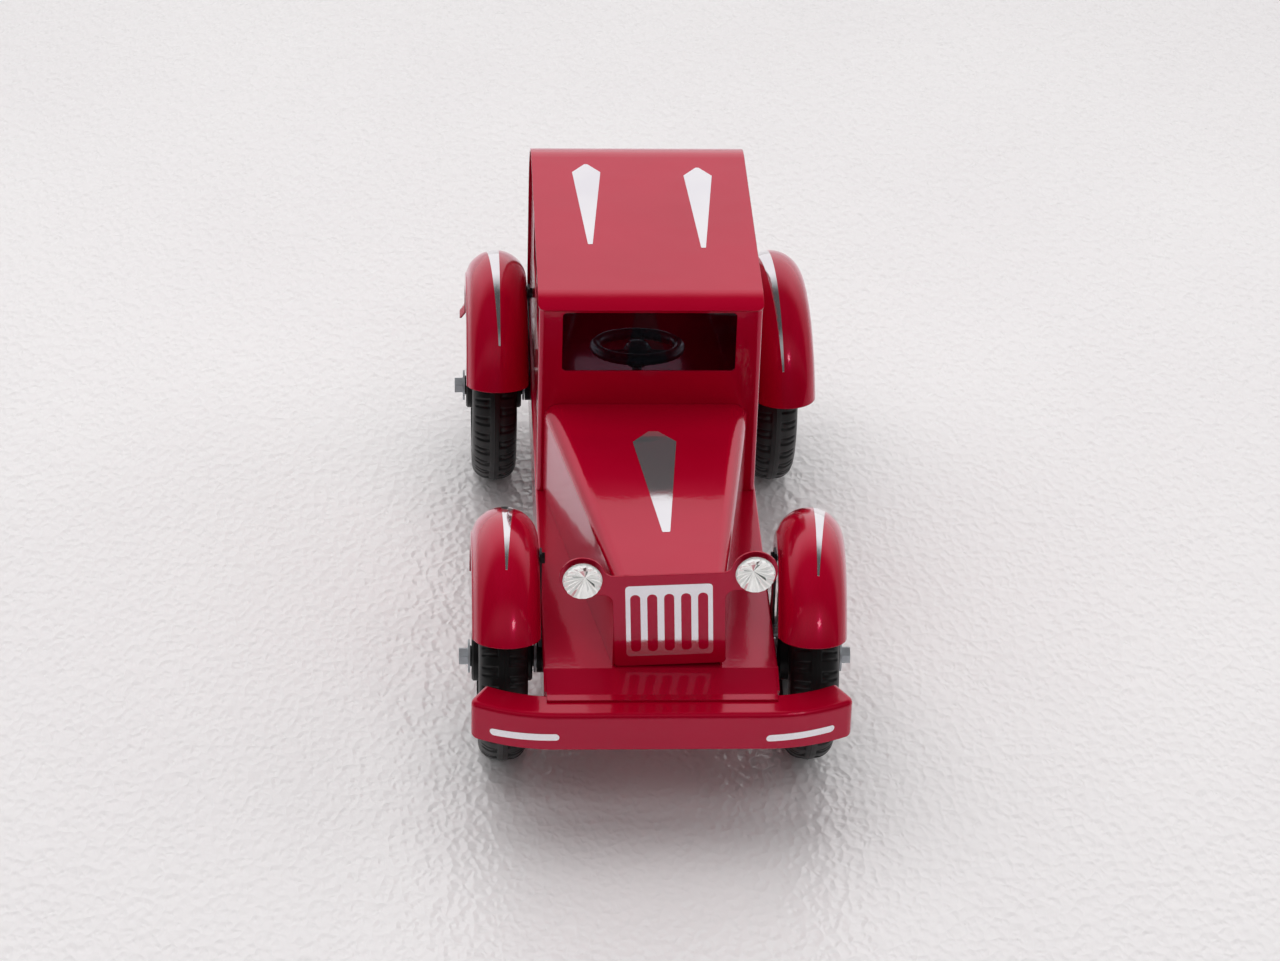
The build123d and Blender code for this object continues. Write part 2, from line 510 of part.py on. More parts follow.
X_W1 = X_OUT + HUB_T + BOSS          # outer washer
X_W0 = X_IN - HUB_T - BOSS           # inner washer
for tag, y in (("front", 0.0), ("rear", WHEELBASE)):
    for s, side_ in ((-1, "left"), (1, "right")):
        parts[f"{tag}_{side_}_tyre"] = tyre(s, y)
        parts[f"{tag}_{side_}_rim"] = rim(s, y)
    ax = xcyl(AX_R, -(X_W0 - WASH_T), X_W0 - WASH_T, y, R_WHEEL)
    ax += xcyl(AX_END_R, -(X_W1 - 0.3), X_W1 - 0.3, y, R_WHEEL)
    wa, bl, bu = [], [], []
    for s in (-1, 1):
        m = (lambda sh: sh) if s > 0 else (lambda sh: mirror(sh, Plane.YZ))
        ax -= m(xcyl(M5_R, X_W1 - 16, X_W1, y, R_WHEEL))
        wa.append(clean(m(xcyl(WASH_R, X_W1, X_W1 + WASH_T, y, R_WHEEL) - xcyl(M5_R, X_W1 - 1, X_W1 + 3, y, R_WHEEL))))
        wa.append(clean(m(xcyl(WASH_R, X_W0 - WASH_T, X_W0, y, R_WHEEL) - xcyl(AX_END_R, X_W0 - 3, X_W0 + 1, y, R_WHEEL))))
        hx = Pos(X_W1 + WASH_T + HEX_H / 2 + 0.3, y, R_WHEEL) * (Rot(0, 90, 0) * extrude(RegularPolygon(HEX_AF / 2, 6, major_radius=False), HEX_H / 2, both=True))
        hx = hx & xcyl(HEX_AF / 2 * 1.12, X_W1, X_W1 + 10, y, R_WHEEL)
        hx += xcyl(HEX_AF / 2 * 1.08, X_W1 + WASH_T, X_W1 + WASH_T + 0.3, y, R_WHEEL)
        hx += xcyl(M5_R, X_W1 - 14, X_W1 + WASH_T, y, R_WHEEL)
        bl.append(clean(m(hx)))
        b_ = xcyl(WASH_R, CH_HW, X_W0 - WASH_T - 0.4, y, R_WHEEL) + xcyl(6.0, CH_HW - 4.0, CH_HW + 0.5, y, R_WHEEL)
        b_ -= xcyl(AX_R + RUN, CH_HW - 6, X_W0, y, R_WHEEL)
        bu.append(clean(m(b_)))
    parts[f"{tag}_axle"] = clean(ax)
    parts[f"{tag}_wheel_washers"] = group(wa)
    parts[f"{tag}_axle_bolts"] = group(bl)
    parts[f"{tag}_axle_bushes"] = group(bu)

# ---------------------------------------------------------------- steering
tl = math.radians(STEER_TILT)
sdir = Vector(0, math.sin(tl), math.cos(tl))      # column axis, up and slightly back
sp = Plane(origin=STEER_C, x_dir=(1, 0, 0), z_dir=sdir)
COL_L = (STEER_C[2] - DECK_Z) / math.cos(tl)
wheel = Torus(STEER_R - STEER_RIM, STEER_RIM)
wheel += Pos(0, 0, -0.8) * Cylinder(6.6, 4.4)
for a in (90, 210, 330):
    wheel += Rot(0, 0, a) * (Pos(12.5, 0, -0.4) * Box(17.5, 4.6, 2.2))
wheel += Pos(0, 0, -6.0) * Cylinder(4.6, 8.0)
wheel -= Pos(0, 0, -8.0) * Cylinder(2.5, 10.0)
parts["steering_wheel"] = clean(sp * wheel)
col = Pos(0, 0, -COL_L / 2 - 2.6) * Cylinder(2.5, COL_L - 7.0)
parts["steering_column"] = clean(sp * col)
bp = Plane(origin=(STEER_C[0], STEER_C[1] - (STEER_C[2] - DECK_Z) * math.tan(tl), DECK_Z), x_dir=(1, 0, 0), z_dir=sdir)
boss = bp * (Pos(0, 0, 3) * Cylinder(6.0, 12.0)) & box(-20, 20, 110, 145, DECK_Z, DECK_Z + 20)
boss = boss - bp * (Pos(0, 0, 5) * Cylinder(2.5 + RUN, 14.0))
parts["steering_boss"] = clean(boss)

# ---------------------------------------------------------------- friction motor


def gear_face(n, phase, backlash=0.12, k_add=0.7, k_ded=1.0, pa=20.0):
    """Involute spur gear, tooth centred on angle phase (degrees)."""
    rp = MODULE * n / 2
    ra, rf = rp + k_add * MODULE, rp - k_ded * MODULE
    rb = rp * math.cos(math.radians(pa))
    inv = lambda t: math.tan(t) - t
    half = (math.pi * MODULE / 2 - backlash) / (2 * rp) + inv(math.radians(pa))
    r0 = max(rb, rf)
    pts = []
    for i in range(n):
        c = math.radians(phase) + 2 * math.pi * i / n
        fl = []
        for j in range(9):
            r = r0 + (ra - r0) * j / 8
            t = math.acos(min(1.0, rb / r))
            fl.append((r, half - inv(t)))
        left = [(r, c - a) for r, a in fl]
        right = [(r, c + a) for r, a in reversed(fl)]
        if rf < r0:
            left.insert(0, (rf, left[0][1]))
            right.append((rf, right[-1][1]))
        pts += left + right
    xy = [(r * math.cos(a), r * math.sin(a)) for r, a in pts]
    return make_face(Polyline(*xy, close=True))


def gear(n, phase, x0, x1, y):
    pl = Plane(origin=(x0, y, R_WHEEL), x_dir=(0, 1, 0), z_dir=(1, 0, 0))
    return extrude(pl * gear_face(n, phase), x1 - x0)


dg = gear(T_DRIVE, 180, -9.5, -4.5, WHEELBASE) + xcyl(7.5, -11.0, -3.5, WHEELBASE, R_WHEEL)
parts["drive_gear"] = clean(dg - xcyl(AX_R, -20, 20, WHEELBASE, R_WHEEL))
SH_R = 1.5
ig = gear(T_PIN, 15, -10.5, -3.5, Y_INT) + xcyl(4.2, -3.5, 0.0, Y_INT, R_WHEEL) + gear(T_INT, 180, 0.0, 4.0, Y_INT)
ig += xcyl(2.3, 4.0, MOT_HW - 0.5, Y_INT, R_WHEEL) + xcyl(2.6, -MOT_HW + 0.5, -10.5, Y_INT, R_WHEEL)
parts["intermediate_gear"] = clean(ig - xcyl(SH_R, -20, 20, Y_INT, R_WHEEL))
parts["intermediate_shaft"] = clean(xcyl(SH_R, -MOT_HW - 1.8, MOT_HW + 1.8, Y_INT, R_WHEEL))
fp = gear(T_FLY, 15, -0.8, 4.8, Y_FLY) + xcyl(2.6, -MOT_HW + 0.5, -0.8, Y_FLY, R_WHEEL) + xcyl(3.0, 4.8, 5.6, Y_FLY, R_WHEEL)
parts["flywheel_pinion"] = clean(fp - xcyl(SH_R, -20, 20, Y_FLY, R_WHEEL))
fwh = xcyl(17.4, 5.6, 10.8, Y_FLY, R_WHEEL) + xcyl(3.2, 10.8, MOT_HW - 0.5, Y_FLY, R_WHEEL)
fwh = fwh - (xcyl(12.5, 9.6, 10.9, Y_FLY, R_WHEEL) - xcyl(6.0, 9.0, 11.5, Y_FLY, R_WHEEL))
parts["flywheel"] = clean(fwh - xcyl(SH_R, -20, 20, Y_FLY, R_WHEEL))
parts["flywheel_shaft"] = clean(xcyl(SH_R, -MOT_HW - 1.8, MOT_HW + 1.8, Y_FLY, R_WHEEL))

POSTS = [(196.0, 38.0), (196.0, 68.0), (241.0, 31.0), (285.0, 40.0), (285.0, 66.0)]
MP_Y0, MP_Y1, MP_Z0 = 190.0, 291.0, 26.5
for s, n in ((-1, "motor_plate_left"), (1, "motor_plate_right")):
    out = [(MP_Y0, 34.0), (MP_Y0 + 6, MP_Z0 + 3), (236.0, MP_Z0), (250.0, MP_Z0), (MP_Y1 - 4, 36.0), (MP_Y1, 40.0),
           (MP_Y1, DECK_Z - TC), (MP_Y0, DECK_Z - TC)]
    p = yz_prism(out, MOT_HW, MOT_HW + 1.2) + box(MOT_HW, MOT_HW + 12, MP_Y0, MP_Y1, DECK_Z - TC - 1.2, DECK_Z - TC)
    p -= xcyl(AX_R + RUN, 0, 30, WHEELBASE, R_WHEEL)
    p -= xcyl(SH_R + RUN, 0, 30, Y_INT, R_WHEEL)
    p -= xcyl(SH_R + RUN, 0, 30, Y_FLY, R_WHEEL)
    for y, z in POSTS:
        p -= xcyl(1.5, 0, 30, y, z)
    parts[n] = clean(p if s > 0 else mirror(p, Plane.YZ))
posts, ms = [], []
for y, z in POSTS:
    posts.append(clean(xcyl(3.0, -MOT_HW, MOT_HW, y, z) - xcyl(1.5, -30, 30, y, z)))
    for s in (-1, 1):
        sc = xcyl(2.75, MOT_HW + 1.2, MOT_HW + 3.2, y, z) + xcyl(1.5, MOT_HW - 8.0, MOT_HW + 1.2, y, z)
        ms.append(clean(sc if s > 0 else mirror(sc, Plane.YZ)))
parts["motor_spacers"] = group(posts)
parts["motor_screws"] = group(ms)

# ---------------------------------------------------------------- export
for name, shape in parts.items():
    export_step(Pos(0, YS, 0) * shape, f"parts/{name}.step")
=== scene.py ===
import bpy
import bmesh
import json
import math
from mathutils import Matrix, Vector


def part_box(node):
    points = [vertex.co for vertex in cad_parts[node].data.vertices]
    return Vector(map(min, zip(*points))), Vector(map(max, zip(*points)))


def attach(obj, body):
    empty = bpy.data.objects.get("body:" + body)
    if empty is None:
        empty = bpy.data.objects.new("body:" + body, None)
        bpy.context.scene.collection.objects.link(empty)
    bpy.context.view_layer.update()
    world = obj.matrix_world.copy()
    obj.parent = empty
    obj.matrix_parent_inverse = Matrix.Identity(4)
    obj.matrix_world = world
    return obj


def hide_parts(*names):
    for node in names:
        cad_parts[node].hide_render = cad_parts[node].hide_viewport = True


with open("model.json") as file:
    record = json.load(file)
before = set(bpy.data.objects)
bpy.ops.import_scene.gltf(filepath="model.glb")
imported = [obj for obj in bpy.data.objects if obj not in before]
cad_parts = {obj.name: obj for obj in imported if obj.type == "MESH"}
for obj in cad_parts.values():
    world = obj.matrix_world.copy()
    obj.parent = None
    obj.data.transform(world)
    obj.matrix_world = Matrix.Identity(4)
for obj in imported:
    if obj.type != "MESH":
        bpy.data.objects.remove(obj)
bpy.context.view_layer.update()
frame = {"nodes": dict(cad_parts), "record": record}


nodes = frame["nodes"]
MM = 0.001


# ------------------------------------------------------------------ node helpers
def new_mat(name):
    m = bpy.data.materials.new(name)
    m.use_nodes = True
    nt = m.node_tree
    nt.nodes.clear()
    out = nt.nodes.new("ShaderNodeOutputMaterial")
    return m, nt, out


def node(nt, kind, **values):
    n = nt.nodes.new(kind)
    for k, v in values.items():
        if k in n.inputs:
            n.inputs[k].default_value = v
        else:
            setattr(n, k, v)
    return n


def put(n, **values):
    """Sets sockets by name, underscores standing for spaces."""
    for k, v in values.items():
        n.inputs[k.replace("_", " ")].default_value = v
    return n


def noise(nt, vec, scale, detail=2.0, rough=0.5, distort=0.0):
    n = nt.nodes.new("ShaderNodeTexNoise")
    put(n, Scale=scale, Detail=detail, Roughness=rough, Distortion=distort)
    nt.links.new(vec, n.inputs["Vector"])
    return n.outputs["Fac"]


def ramp(nt, fac, stops):
    r = nt.nodes.new("ShaderNodeValToRGB")
    e = r.color_ramp.elements
    e[0].position, e[0].color = stops[0]
    e[1].position, e[1].color = stops[-1]
    for p, c in stops[1:-1]:
        x = e.new(p)
        x.color = c
    nt.links.new(fac, r.inputs["Fac"])
    return r.outputs["Color"]


def bump(nt, height, dist, strength=1.0, normal=None):
    b = nt.nodes.new("ShaderNodeBump")
    put(b, Strength=strength, Distance=dist)
    nt.links.new(height, b.inputs["Height"])
    if normal is not None:
        nt.links.new(normal, b.inputs["Normal"])
    return b.outputs["Normal"]


def objco(nt):
    return nt.nodes.new("ShaderNodeTexCoord").outputs["Object"]


def grey(v, a=1.0):
    return (v, v, v, a)


# ------------------------------------------------------------------ materials
def enamel(name, dark=1.0, peel=1.0):
    m, nt, out = new_mat(name)
    co = objco(nt)
    p = nt.nodes.new("ShaderNodeBsdfPrincipled")
    tone = ramp(nt, noise(nt, co, 14, 3), [(0.3, (0.465 * dark, 0.0001, 0.0185, 1)), (0.7, (0.515 * dark, 0.0003, 0.0235, 1))])
    nt.links.new(tone, p.inputs["Base Color"])
    put(p, Metallic=0.22, Roughness=0.20, IOR=1.5, Specular_IOR_Level=0.5, Coat_Weight=0.60, Coat_IOR=1.5)
    p.inputs["Specular Tint"].default_value = (1.0, 0.12, 0.62, 1)
    cr = ramp(nt, noise(nt, co, 60, 4), [(0.35, grey(0.02)), (0.75, grey(0.055))])
    nt.links.new(cr, p.inputs["Coat Roughness"])
    edge = nt.nodes.new("ShaderNodeBevel")
    edge.samples = 3
    edge.inputs["Radius"].default_value = 0.0006
    wave = bump(nt, noise(nt, co, 42, 1), 0.00035 * peel, 0.5, edge.outputs["Normal"])
    fine = bump(nt, noise(nt, co, 330, 2, 0.6), 0.00006 * peel, 0.55, wave)
    nt.links.new(fine, p.inputs["Coat Normal"])
    nt.links.new(wave, p.inputs["Normal"])
    nt.links.new(p.outputs[0], out.inputs[0])
    return m


def plastic(name, base, rough, grain=500, depth=0.00004, coat=0.0):
    m, nt, out = new_mat(name)
    co = objco(nt)
    p = nt.nodes.new("ShaderNodeBsdfPrincipled")
    lo = (base[0] * 0.75, base[1] * 0.75, base[2] * 0.75, 1)
    hi = (base[0] * 1.35, base[1] * 1.35, base[2] * 1.35, 1)
    nt.links.new(ramp(nt, noise(nt, co, 40, 4), [(0.3, lo), (0.7, hi)]), p.inputs["Base Color"])
    nt.links.new(ramp(nt, noise(nt, co, 110, 4), [(0.3, grey(rough - 0.07)), (0.75, grey(rough + 0.1))]), p.inputs["Roughness"])
    put(p, Coat_Weight=coat, Coat_Roughness=0.15)
    nt.links.new(bump(nt, noise(nt, co, grain, 3), depth, 0.6), p.inputs["Normal"])
    nt.links.new(p.outputs[0], out.inputs[0])
    return m


def metal(name, base, rough, streak=(1, 1, 1), scale=300, depth=0.00003, spots=None, metallic=1.0):
    m, nt, out = new_mat(name)
    mp = nt.nodes.new("ShaderNodeMapping")
    nt.links.new(objco(nt), mp.inputs["Vector"])
    mp.inputs["Scale"].default_value = streak
    co = mp.outputs["Vector"]
    p = nt.nodes.new("ShaderNodeBsdfPrincipled")
    lo = tuple(c * 0.78 for c in base) + (1,)
    hi = tuple(min(1, c * 1.1) for c in base) + (1,)
    stops = [(0.3, lo), (0.7, hi)]
    if spots:
        stops = [(0.25, spots + (1,)), (0.38, lo), (0.7, hi)]
    nt.links.new(ramp(nt, noise(nt, co, 70, 5, 0.6), stops), p.inputs["Base Color"])
    put(p, Metallic=metallic)
    nt.links.new(ramp(nt, noise(nt, co, scale, 4), [(0.3, grey(rough * 0.7)), (0.75, grey(min(1, rough * 1.4)))]), p.inputs["Roughness"])
    nt.links.new(bump(nt, noise(nt, co, scale, 3), depth, 0.6), p.inputs["Normal"])
    nt.links.new(p.outputs[0], out.inputs[0])
    return m


def mirror_film(name):
    m, nt, out = new_mat(name)
    co = objco(nt)
    p = nt.nodes.new("ShaderNodeBsdfPrincipled")
    nt.links.new(ramp(nt, noise(nt, co, 25, 2), [(0.3, (0.87, 0.85, 0.90, 1)), (0.7, (0.94, 0.925, 0.955, 1))]), p.inputs["Base Color"])
    put(p, Metallic=0.90, Roughness=0.085)
    a = bump(nt, noise(nt, co, 55, 1), 0.0003, 0.35)
    b = bump(nt, noise(nt, co, 420, 2), 0.00004, 0.35, a)
    nt.links.new(b, p.inputs["Normal"])
    nt.links.new(p.outputs[0], out.inputs[0])
    return m


def film(name):
    m, nt, out = new_mat(name)
    co = objco(nt)
    tr = nt.nodes.new("ShaderNodeBsdfTransparent")
    # the film's grey tint, uneven by noise, is painted shade: it darkens the cab's inside
    painted_shade_tint = ramp(nt, noise(nt, co, 18, 3), [(0.3, (0.46, 0.50, 0.56, 1)), (0.75, (0.54, 0.57, 0.62, 1))])
    nt.links.new(painted_shade_tint, tr.inputs[0])
    gl = nt.nodes.new("ShaderNodeBsdfGlossy")
    put(gl, Color=(0.8, 0.8, 0.82, 1), Roughness=0.03)
    n = bump(nt, noise(nt, co, 16, 1), 0.0003, 0.2)
    nt.links.new(n, gl.inputs["Normal"])
    fr = nt.nodes.new("ShaderNodeFresnel")
    put(fr, IOR=1.33)
    nt.links.new(n, fr.inputs["Normal"])
    mix = nt.nodes.new("ShaderNodeMixShader")
    nt.links.new(fr.outputs[0], mix.inputs[0])
    nt.links.new(tr.outputs[0], mix.inputs[1])
    nt.links.new(gl.outputs[0], mix.inputs[2])
    nt.links.new(mix.outputs[0], out.inputs[0])
    return m


def stone(name, base, rough=0.04):
    m, nt, out = new_mat(name)
    co = objco(nt)
    p = nt.nodes.new("ShaderNodeBsdfPrincipled")
    lo = tuple(c * 0.86 for c in base) + (1,)
    nt.links.new(ramp(nt, noise(nt, co, 260, 2), [(0.3, lo), (0.7, tuple(base) + (1,))]), p.inputs["Base Color"])
    # the emission is a painted glow: the stones are no lamps, and it brightens them in place of light falling on them
    put(p, Metallic=0.30, Roughness=rough, Coat_Weight=1.0, Coat_Roughness=0.02, Emission_Strength=0.30 * base[0] ** 2)
    p.inputs["Emission Color"].default_value = tuple(base) + (1,)
    nt.links.new(p.outputs[0], out.inputs[0])
    return m


RED = enamel("red_enamel")
RED_CH = enamel("red_enamel_chassis", 0.96, 1.3)
TYRE = plastic("tyre_black", (0.0085, 0.0088, 0.0092), 0.42, 700, 0.00005)
RIM = plastic("rim_black", (0.008, 0.008, 0.0085), 0.40)
BUSH = plastic("bush_black", (0.012, 0.012, 0.012), 0.5)
STEER = plastic("steering_black", (0.034, 0.037, 0.044), 0.30, 300, 0.00003, 0.6)
ZINC = metal("zinc_plate", (0.60, 0.64, 0.68), 0.36, (1, 1, 1), 350, 0.00004, (0.30, 0.31, 0.30), 0.5)
DARKS = metal("blackened_steel", (0.06, 0.06, 0.065), 0.4)
SILVER = metal("silvered_cup", (0.80, 0.80, 0.79), 0.16)
BRASS = metal("cut_brass", (0.66, 0.47, 0.19), 0.30, (14, 1, 1), 260, 0.00003, (0.32, 0.21, 0.09))
IRON = metal("turned_iron", (0.17, 0.17, 0.175), 0.34, (30, 1, 1), 240, 0.00005, (0.10, 0.07, 0.055))
CHROME = mirror_film("mirror_sticker")
FILM = film("window_film")

by_slot = {"body_enamel": RED, "chassis_enamel": RED_CH, "tyre": TYRE, "rim": RIM, "steel": ZINC, "dark_steel": DARKS,
           "chrome_film": CHROME, "gem": SILVER, "cup": SILVER, "clear_film": FILM, "steering": STEER, "gear": BRASS,
           "flywheel": IRON, "bush": BUSH}
for sp in frame["record"]["subparts"]:
    o = nodes[sp["node"]]
    for s in o.material_slots:
        s.material = by_slot[sp["material_slot"]]
    if not o.material_slots:
        o.data.materials.append(by_slot[sp["material_slot"]])


# ------------------------------------------------------------------ mesh helpers
def link(name, me, mats, body, slot, smooth=True):
    o = bpy.data.objects.new(name, me)
    bpy.context.scene.collection.objects.link(o)
    for m in mats:
        me.materials.append(m)
    if smooth:
        for f in me.polygons:
            f.use_smooth = True
    return o


def clusters(n, axis=0):
    """The two halves of a paired node, low side first, each as (low corner, high corner)."""
    pts = [v.co.copy() for v in nodes[n].data.vertices]
    mid = (min(p[axis] for p in pts) + max(p[axis] for p in pts)) / 2
    out = []
    for side in (0, 1):
        q = [p for p in pts if (p[axis] > mid) == bool(side)]
        out.append((Vector([min(p[i] for p in q) for i in range(3)]), Vector([max(p[i] for p in q) for i in range(3)])))
    return out


def smoothstep(a, b, x):
    t = min(1.0, max(0.0, (x - a) / (b - a)))
    return t * t * (3 - 2 * t)


# ------------------------------------------------------------------ tyres with a moulded tread
def tread_depth(x, ang, pitch):
    """Depth of the moulding in mm at x across the tread (mm from the middle) and angle ang."""
    r = 52.0
    d = 0.0
    ax = abs(x)
    shift = 0.0 if x > 0 else 0.5
    u = ((ang / pitch + shift) % 1.0 - 0.5) * pitch * r      # mm round the tread from the pocket's middle
    au = abs(u)
    x0, x1 = 2.5, 9.6
    outer = smoothstep(x0, x0 + 0.45, ax) * (1 - smoothstep(x1 - 0.2, x1 + 0.6, ax)) * (1 - smoothstep(2.35, 2.75, au))
    inner = smoothstep(x0 + 1.7, x0 + 2.1, ax) * (1 - smoothstep(1.0, 1.4, au))
    d += 0.95 * max(0.0, outer - inner * 0.85)
    d -= 0.16 * math.exp(-(x / 0.22) ** 2)                   # parting line
    return d


def tyre_mesh(name, phase):
    W, R, K, RS, BORE = 12.0, 52.0, 9.0, 51.4, 33.0
    prof = [(W, BORE), (W, 34.2), (W + 0.0, 36.5), (W - 0.35, 37.3), (W - 0.35, 38.6), (W, 39.2), (W, 41.0)]
    for i in range(0, 11):
        t = math.radians(90 * i / 10)
        prof.append((W - K + K * math.cos(t), RS - K + K * math.sin(t)))
    n = 26
    for i in range(1, n):
        x = (W - K) * (1 - 2 * i / n)
        prof.append((x, R - 0.6 * (x / (W - K)) ** 2))
    prof += [(-x, r) for x, r in reversed(prof[:18])]
    N = 768
    pitch = 2 * math.pi / 32
    verts, faces = [], []
    for k in range(N):
        a = 2 * math.pi * k / N
        for i, (x, r) in enumerate(prof):
            rr = r
            if r > 43.5:
                rr -= tread_depth(x, a + phase, pitch) * smoothstep(44.0, 47.5, r)
            verts.append((x * MM, rr * math.cos(a) * MM, rr * math.sin(a) * MM))
    P = len(prof)
    for k in range(N):
        k2 = (k + 1) % N
        for i in range(P - 1):
            faces.append((k * P + i, k * P + i + 1, k2 * P + i + 1, k2 * P + i))
        faces.append((k * P + P - 1, k * P, k2 * P, k2 * P + P - 1))
    me = bpy.data.meshes.new(name)
    me.from_pydata(verts, [], faces)
    me.update()
    return me


for end, body in (("front", "front_wheels"), ("rear", "rear_wheels")):
    for k, side in enumerate(("left", "right")):
        n = f"{end}_{side}_tyre"
        lo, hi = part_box(n)
        tyre_me = tyre_mesh(f"{end}_{side}_tread", math.radians(3.1 + 2.3 * k + (5 if end == "rear" else 0)))
        tyre_me.materials.append(TYRE)
        for f in tyre_me.polygons:
            f.use_smooth = True
        o = bpy.data.objects.new(f"{end}_{side}_tyre_tread", tyre_me)
        bpy.context.scene.collection.objects.link(o)
        o.location = [(lo[i] + hi[i]) / 2 for i in range(3)]
        bpy.context.view_layer.update()
        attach(o, body)
        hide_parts(n)

# ------------------------------------------------------------------ faceted lamp stones, with a painted glow and painted facet highlights and reflections
# four lit and shaded copies of one stone material: a painted highlight, a painted mid tone, a painted dark reflection
# and a painted red reflection of the car
STONES = [stone("stone_painted_highlight", (0.95, 0.95, 0.93)), stone("stone_painted_midtone", (0.84, 0.85, 0.84), 0.08),
          stone("stone_painted_dark_reflection", (0.26, 0.30, 0.29), 0.1), stone("stone_painted_red_reflection", (0.75, 0.42, 0.44), 0.1)]


def gem_mesh(name, r, depth, flip):
    """Round stone seen face on: a scalloped girdle and pleated facets that run back to a point a little above the middle."""
    n = 18
    verts, faces, mats = [], [], []
    cx, cz = 1.2 * flip, 2.0
    apex = (cx * MM, depth * 0.62 * MM, cz * MM)
    verts.append(apex)
    for k in range(2 * n):
        a = math.pi * k / n
        rr = r if k % 2 == 0 else r * 0.955
        y = 0.9 if k % 2 == 0 else 0.45
        verts.append((rr * math.cos(a) * MM, y * MM, rr * math.sin(a) * MM))
    for k in range(2 * n):
        a = math.pi * k / n
        f = 0.60 if k % 2 == 0 else 0.70
        x = cx + (r * math.cos(a) - cx) * f
        z = cz + (r * math.sin(a) - cz) * f
        y = depth * (0.40 if k % 2 == 0 else 0.22)
        verts.append((x * MM, y * MM, z * MM))
    for k in range(2 * n):
        a = math.pi * k / n
        verts.append((r * math.cos(a) * MM, depth * MM, r * math.sin(a) * MM))
    A, B, D = 1, 1 + 2 * n, 1 + 4 * n
    # which facet gets the painted highlight, mid tone, dark reflection or red reflection
    tone = [0, 0, 1, 0, 0, 0, 0, 2, 0, 3, 3, 0, 0, 1, 0, 2, 0, 0, 0, 0, 0, 0, 1, 0, 0, 0, 0, 0, 0, 1, 0, 0, 0, 2, 0, 0]
    back = [depth]
    for k in range(2 * n):
        k2 = (k + 1) % (2 * n)
        faces.append((0, B + k2, B + k))
        mats.append(tone[k])
        faces.append((B + k, B + k2, A + k2, A + k))
        mats.append(tone[(k * 5 + 3) % 36] if k % 3 else 0)
        faces.append((A + k, A + k2, D + k2, D + k))
        mats.append(1)
    faces.append(tuple(D + k for k in range(2 * n)))
    mats.append(1)
    me = bpy.data.meshes.new(name)
    me.from_pydata(verts, [], faces)
    for s in STONES:
        me.materials.append(s)
    for p, t in zip(me.polygons, mats):
        p.material_index = t
    me.update()
    bm = bmesh.new()
    bm.from_mesh(me)
    bmesh.ops.recalc_face_normals(bm, faces=bm.faces)
    bm.to_mesh(me)
    bm.free()
    return me


for k, (lo, hi) in enumerate(clusters("headlamp_gems")):
    r = (hi.z - lo.z) / 2 / MM
    me = gem_mesh(f"stone_{k}", r, (hi.y - lo.y) / MM, 1 if k == 0 else -1)
    o = bpy.data.objects.new("lamp_stone_left" if k == 0 else "lamp_stone_right", me)
    bpy.context.scene.collection.objects.link(o)
    o.location = ((lo.x + hi.x) / 2, lo.y, (lo.z + hi.z) / 2)
    bpy.context.view_layer.update()
    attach(o, "body")
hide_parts("headlamp_gems")


# ------------------------------------------------------------------ steering wheel
def steering_mesh(name, R, sec):
    bm = bmesh.new()
    # rim, slightly flattened, with finger grips moulded under it
    N, M = 144, 20
    rows = []
    for i in range(N):
        a = 2 * math.pi * i / N
        row = []
        for j in range(M):
            b = 2 * math.pi * j / M
            grip = 0.16 * math.cos(36 * a) * max(0.0, -math.sin(b))
            rr = R - sec + (sec + grip) * math.cos(b)
            zz = (sec + grip) * math.sin(b)
            row.append(bm.verts.new((rr * math.cos(a) * MM, rr * math.sin(a) * MM, zz * MM)))
        rows.append(row)
    for i in range(N):
        for j in range(M):
            bm.faces.new((rows[i][j], rows[(i + 1) % N][j], rows[(i + 1) % N][(j + 1) % M], rows[i][(j + 1) % M]))
    # domed hub on a collar
    prof = [(2.55, -10.0), (4.6, -10.0), (4.6, -4.2), (6.8, -3.4), (7.2, -2.4), (7.2, -0.9), (6.7, -0.1), (6.5, 0.15), (6.3, 0.1)]
    for t in range(0, 10):
        g = math.radians(90 * t / 9)
        prof.append((6.1 * math.cos(g), 0.3 + 3.0 * math.sin(g)))
    prof[-1] = (0.02, 3.3)
    S = 48
    ring = []
    for x, z in prof:
        ring.append([bm.verts.new((x * math.cos(2 * math.pi * s / S) * MM, x * math.sin(2 * math.pi * s / S) * MM, z * MM)) for s in range(S)])
    for i in range(len(prof) - 1):
        for s in range(S):
            bm.faces.new((ring[i][s], ring[i][(s + 1) % S], ring[i + 1][(s + 1) % S], ring[i + 1][s]))
    bm.faces.new(list(reversed(ring[-1])))
    # spokes: three pairs that open like a V towards the rim
    for base in (90, 210, 330):
        for d in (-13, 13):
            a0, a1 = math.radians(base + d * 0.45), math.radians(base + d)
            p0 = Vector((5.5 * math.cos(a0), 5.5 * math.sin(a0), -1.2))
            p1 = Vector(((R - sec * 1.15) * math.cos(a1), (R - sec * 1.15) * math.sin(a1), 0.0))
            ax = (p1 - p0).normalized()
            side = ax.cross(Vector((0, 0, 1))).normalized()
            prev = None
            for t in range(9):
                u = t / 8
                c = p0.lerp(p1, u) + Vector((0, 0, -0.7 * math.sin(math.pi * u)))
                w = 1.35 - 0.25 * math.sin(math.pi * u)
                cur = []
                for j in range(12):
                    b = 2 * math.pi * j / 12
                    q = c + side * (w * math.cos(b)) + Vector((0, 0, 1)) * (0.95 * math.sin(b))
                    cur.append(bm.verts.new(q * MM))
                if prev:
                    for j in range(12):
                        bm.faces.new((prev[j], prev[(j + 1) % 12], cur[(j + 1) % 12], cur[j]))
                else:
                    bm.faces.new(list(reversed(cur)))
                prev = cur
            bm.faces.new(prev)
    bmesh.ops.recalc_face_normals(bm, faces=bm.faces)
    me = bpy.data.meshes.new(name)
    bm.to_mesh(me)
    bm.free()
    for f in me.polygons:
        f.use_smooth = True
    return me


